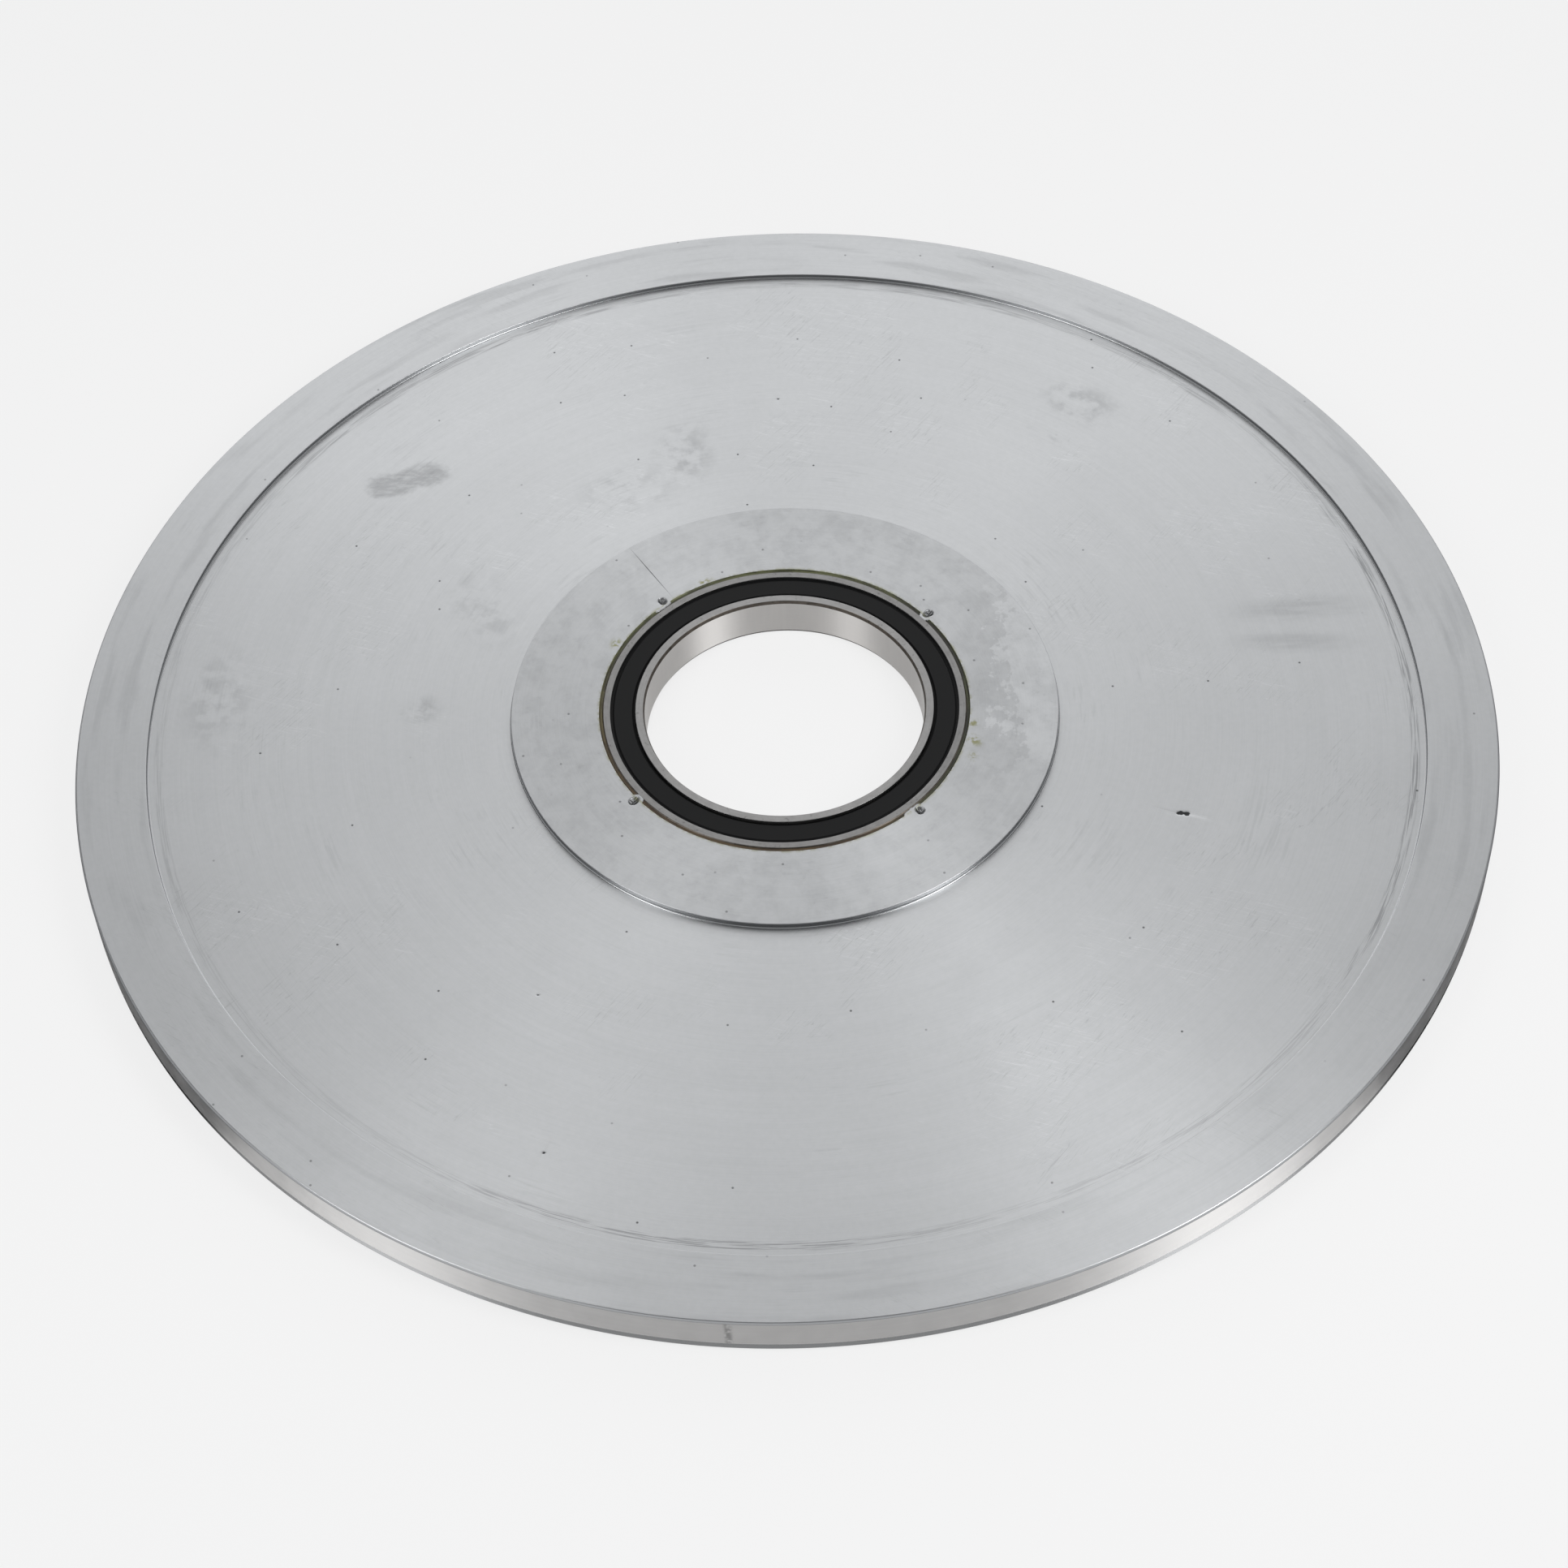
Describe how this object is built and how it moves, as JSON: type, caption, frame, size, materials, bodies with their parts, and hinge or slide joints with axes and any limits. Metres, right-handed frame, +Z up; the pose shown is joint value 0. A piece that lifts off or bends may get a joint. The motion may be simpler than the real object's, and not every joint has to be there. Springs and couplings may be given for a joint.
{
  "type": "bearing disc",
  "caption": "Round aluminium disc with a raised rim, a shallow recess and a hub that holds a sealed thin-section ball bearing, bonded and staked in place.",
  "frame": {"origin": "centre of the underside, on the bore axis", "axes": "+Z up along the bore axis, out of the staked face; +X to the right of the picture, +Y away from the camera"},
  "size_m": [0.2775, 0.2774, 0.009],
  "materials": {
    "turned_aluminium": "fine turned, satin",
    "outer_ring_steel": "ground",
    "inner_ring_steel": "ground",
    "seal_rubber": "moulded, matt black",
    "insert_steel": "pressed sheet",
    "retaining_compound": "cured, olive green",
    "cage_steel": "pressed sheet",
    "rivet_steel": "headed",
    "ball_steel": "lapped"
  },
  "bodies": {
    "wheel": {"disc": "turned_aluminium", "outer_ring": "outer_ring_steel", "upper_seal": "seal_rubber", "lower_seal": "seal_rubber", "upper_seal_insert": "insert_steel", "lower_seal_insert": "insert_steel", "retaining_compound": "retaining_compound"},
    "inner_race": {"inner_ring": "inner_ring_steel"},
    "cage": {"cage_upper_half": "cage_steel", "cage_lower_half": "cage_steel", "cage_rivets": "rivet_steel"},
    "ball_01_body": {"ball_01": "ball_steel"},
    "ball_02_body": {"ball_02": "ball_steel"},
    "ball_03_body": {"ball_03": "ball_steel"},
    "ball_04_body": {"ball_04": "ball_steel"},
    "ball_05_body": {"ball_05": "ball_steel"},
    "ball_06_body": {"ball_06": "ball_steel"},
    "ball_07_body": {"ball_07": "ball_steel"},
    "ball_08_body": {"ball_08": "ball_steel"},
    "ball_09_body": {"ball_09": "ball_steel"},
    "ball_10_body": {"ball_10": "ball_steel"},
    "ball_11_body": {"ball_11": "ball_steel"},
    "ball_12_body": {"ball_12": "ball_steel"},
    "ball_13_body": {"ball_13": "ball_steel"},
    "ball_14_body": {"ball_14": "ball_steel"},
    "ball_15_body": {"ball_15": "ball_steel"},
    "ball_16_body": {"ball_16": "ball_steel"},
    "ball_17_body": {"ball_17": "ball_steel"},
    "ball_18_body": {"ball_18": "ball_steel"},
    "ball_19_body": {"ball_19": "ball_steel"},
    "ball_20_body": {"ball_20": "ball_steel"},
    "ball_21_body": {"ball_21": "ball_steel"},
    "ball_22_body": {"ball_22": "ball_steel"}
  },
  "joints": [
    {"name": "inner_ring_spin", "type": "hinge", "parent": "wheel", "child": "inner_race", "pos_m": [0, 0, 0.0045], "axis": [0, 0, 1], "continuous": true},
    {"name": "cage_spin", "type": "hinge", "parent": "wheel", "child": "cage", "pos_m": [0, 0, 0.0045], "axis": [0, 0, 1], "continuous": true},
    {"name": "ball_01_spin", "type": "hinge", "parent": "cage", "child": "ball_01_body", "pos_m": [0.03175, 0, 0.0045], "axis": [0, 0, 1], "continuous": true},
    {"name": "ball_02_spin", "type": "hinge", "parent": "cage", "child": "ball_02_body", "pos_m": [0.03046, 0.00895, 0.0045], "axis": [0, 0, 1], "continuous": true},
    {"name": "ball_03_spin", "type": "hinge", "parent": "cage", "child": "ball_03_body", "pos_m": [0.02671, 0.01717, 0.0045], "axis": [0, 0, 1], "continuous": true},
    {"name": "ball_04_spin", "type": "hinge", "parent": "cage", "child": "ball_04_body", "pos_m": [0.02079, 0.024, 0.0045], "axis": [0, 0, 1], "continuous": true},
    {"name": "ball_05_spin", "type": "hinge", "parent": "cage", "child": "ball_05_body", "pos_m": [0.01319, 0.02888, 0.0045], "axis": [0, 0, 1], "continuous": true},
    {"name": "ball_06_spin", "type": "hinge", "parent": "cage", "child": "ball_06_body", "pos_m": [0.00452, 0.03143, 0.0045], "axis": [0, 0, 1], "continuous": true},
    {"name": "ball_07_spin", "type": "hinge", "parent": "cage", "child": "ball_07_body", "pos_m": [-0.00452, 0.03143, 0.0045], "axis": [0, 0, 1], "continuous": true},
    {"name": "ball_08_spin", "type": "hinge", "parent": "cage", "child": "ball_08_body", "pos_m": [-0.01319, 0.02888, 0.0045], "axis": [0, 0, 1], "continuous": true},
    {"name": "ball_09_spin", "type": "hinge", "parent": "cage", "child": "ball_09_body", "pos_m": [-0.02079, 0.024, 0.0045], "axis": [0, 0, 1], "continuous": true},
    {"name": "ball_10_spin", "type": "hinge", "parent": "cage", "child": "ball_10_body", "pos_m": [-0.02671, 0.01717, 0.0045], "axis": [0, 0, 1], "continuous": true},
    {"name": "ball_11_spin", "type": "hinge", "parent": "cage", "child": "ball_11_body", "pos_m": [-0.03046, 0.00895, 0.0045], "axis": [0, 0, 1], "continuous": true},
    {"name": "ball_12_spin", "type": "hinge", "parent": "cage", "child": "ball_12_body", "pos_m": [-0.03175, 0, 0.0045], "axis": [0, 0, 1], "continuous": true},
    {"name": "ball_13_spin", "type": "hinge", "parent": "cage", "child": "ball_13_body", "pos_m": [-0.03046, -0.00895, 0.0045], "axis": [0, 0, 1], "continuous": true},
    {"name": "ball_14_spin", "type": "hinge", "parent": "cage", "child": "ball_14_body", "pos_m": [-0.02671, -0.01717, 0.0045], "axis": [0, 0, 1], "continuous": true},
    {"name": "ball_15_spin", "type": "hinge", "parent": "cage", "child": "ball_15_body", "pos_m": [-0.02079, -0.024, 0.0045], "axis": [0, 0, 1], "continuous": true},
    {"name": "ball_16_spin", "type": "hinge", "parent": "cage", "child": "ball_16_body", "pos_m": [-0.01319, -0.02888, 0.0045], "axis": [0, 0, 1], "continuous": true},
    {"name": "ball_17_spin", "type": "hinge", "parent": "cage", "child": "ball_17_body", "pos_m": [-0.00452, -0.03143, 0.0045], "axis": [0, 0, 1], "continuous": true},
    {"name": "ball_18_spin", "type": "hinge", "parent": "cage", "child": "ball_18_body", "pos_m": [0.00452, -0.03143, 0.0045], "axis": [0, 0, 1], "continuous": true},
    {"name": "ball_19_spin", "type": "hinge", "parent": "cage", "child": "ball_19_body", "pos_m": [0.01319, -0.02888, 0.0045], "axis": [0, 0, 1], "continuous": true},
    {"name": "ball_20_spin", "type": "hinge", "parent": "cage", "child": "ball_20_body", "pos_m": [0.02079, -0.024, 0.0045], "axis": [0, 0, 1], "continuous": true},
    {"name": "ball_21_spin", "type": "hinge", "parent": "cage", "child": "ball_21_body", "pos_m": [0.02671, -0.01717, 0.0045], "axis": [0, 0, 1], "continuous": true},
    {"name": "ball_22_spin", "type": "hinge", "parent": "cage", "child": "ball_22_body", "pos_m": [0.03046, -0.00895, 0.0045], "axis": [0, 0, 1], "continuous": true}
  ],
  "couplings": [
    {"joint": "cage_spin", "follows": "inner_ring_spin", "ratio": 0.4625},
    {"joint": "ball_01_spin", "follows": "inner_ring_spin", "ratio": -6.6292},
    {"joint": "ball_02_spin", "follows": "inner_ring_spin", "ratio": -6.6292},
    {"joint": "ball_03_spin", "follows": "inner_ring_spin", "ratio": -6.6292},
    {"joint": "ball_04_spin", "follows": "inner_ring_spin", "ratio": -6.6292},
    {"joint": "ball_05_spin", "follows": "inner_ring_spin", "ratio": -6.6292},
    {"joint": "ball_06_spin", "follows": "inner_ring_spin", "ratio": -6.6292},
    {"joint": "ball_07_spin", "follows": "inner_ring_spin", "ratio": -6.6292},
    {"joint": "ball_08_spin", "follows": "inner_ring_spin", "ratio": -6.6292},
    {"joint": "ball_09_spin", "follows": "inner_ring_spin", "ratio": -6.6292},
    {"joint": "ball_10_spin", "follows": "inner_ring_spin", "ratio": -6.6292},
    {"joint": "ball_11_spin", "follows": "inner_ring_spin", "ratio": -6.6292},
    {"joint": "ball_12_spin", "follows": "inner_ring_spin", "ratio": -6.6292},
    {"joint": "ball_13_spin", "follows": "inner_ring_spin", "ratio": -6.6292},
    {"joint": "ball_14_spin", "follows": "inner_ring_spin", "ratio": -6.6292},
    {"joint": "ball_15_spin", "follows": "inner_ring_spin", "ratio": -6.6292},
    {"joint": "ball_16_spin", "follows": "inner_ring_spin", "ratio": -6.6292},
    {"joint": "ball_17_spin", "follows": "inner_ring_spin", "ratio": -6.6292},
    {"joint": "ball_18_spin", "follows": "inner_ring_spin", "ratio": -6.6292},
    {"joint": "ball_19_spin", "follows": "inner_ring_spin", "ratio": -6.6292},
    {"joint": "ball_20_spin", "follows": "inner_ring_spin", "ratio": -6.6292},
    {"joint": "ball_21_spin", "follows": "inner_ring_spin", "ratio": -6.6292},
    {"joint": "ball_22_spin", "follows": "inner_ring_spin", "ratio": -6.6292}
  ]
}
